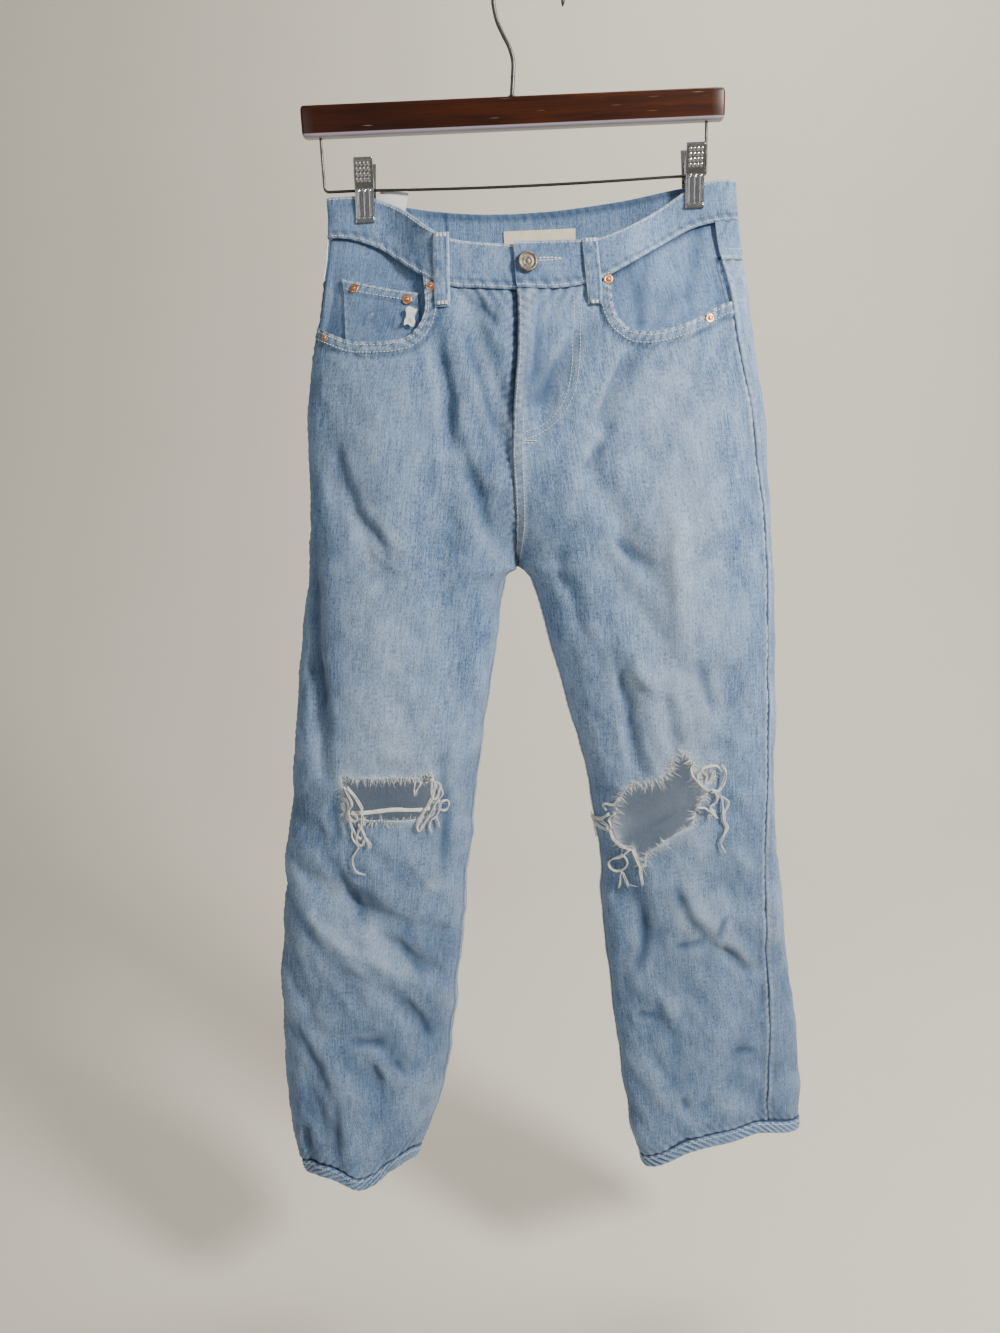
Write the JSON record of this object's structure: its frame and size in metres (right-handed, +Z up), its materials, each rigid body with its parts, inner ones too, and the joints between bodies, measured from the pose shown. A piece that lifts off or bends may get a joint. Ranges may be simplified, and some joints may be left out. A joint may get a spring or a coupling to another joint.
{
  "type": "straight leg jeans on a clip hanger",
  "caption": "Ripped straight leg denim jeans held at the waist by the clips of a wooden hanger with a wire hook.",
  "frame": {"origin": "inside the crown of the hanger's hook, where it rests on its peg", "axes": "+Z up, +Y towards the wall behind, +X to the viewer's right as the front of the jeans faces -Y"},
  "size_m": [0.5392, 0.1201, 1.1336],
  "materials": {
    "denim": "light washed denim",
    "thread": "loose cotton thread",
    "label": "woven label, bare",
    "pocketing": "plain cotton",
    "copper": "copper coloured rivets",
    "nickel": "aged metal button",
    "chrome": "bright clips",
    "steel": "steel wire",
    "wood": "dark cherry stain, varnished"
  },
  "bodies": {
    "root": {"front_left": "denim", "front_right": "denim", "back_left": "denim", "back_right": "denim", "yoke_left": "denim", "yoke_right": "denim", "waistband_left": "denim", "waistband_right": "denim", "waistband_back": "denim", "hem_front_left": "denim", "hem_back_left": "denim", "hem_front_right": "denim", "hem_back_right": "denim", "facing_left": "denim", "facing_right": "denim", "coin_pocket": "denim", "back_pocket_left": "denim", "back_pocket_right": "denim", "fly_shield": "denim", "loop_front_left": "denim", "loop_front_right": "denim", "loop_back_left": "denim", "loop_back_middle": "denim", "loop_back_right": "denim", "pocket_bag": "pocketing", "waist_label": "label", "care_label": "label", "waist_button": "nickel", "rivet_coin_left": "copper", "rivet_coin_right": "copper", "rivet_left_inner": "copper", "rivet_left_outer": "copper", "rivet_right_inner": "copper", "rivet_right_outer": "copper", "rip_left_bar": "thread", "rip_left_outer_threads": "thread", "rip_left_inner_threads": "thread", "rip_right_inner_threads": "thread", "rip_right_lower_threads": "thread", "rip_right_outer_threads": "thread", "hanger_bar": "wood", "hanger_hook": "steel", "hanger_wire": "steel", "clip_left_front": "chrome", "clip_left_back": "chrome", "clip_right_front": "chrome", "clip_right_back": "chrome"}
  },
  "joints": []
}
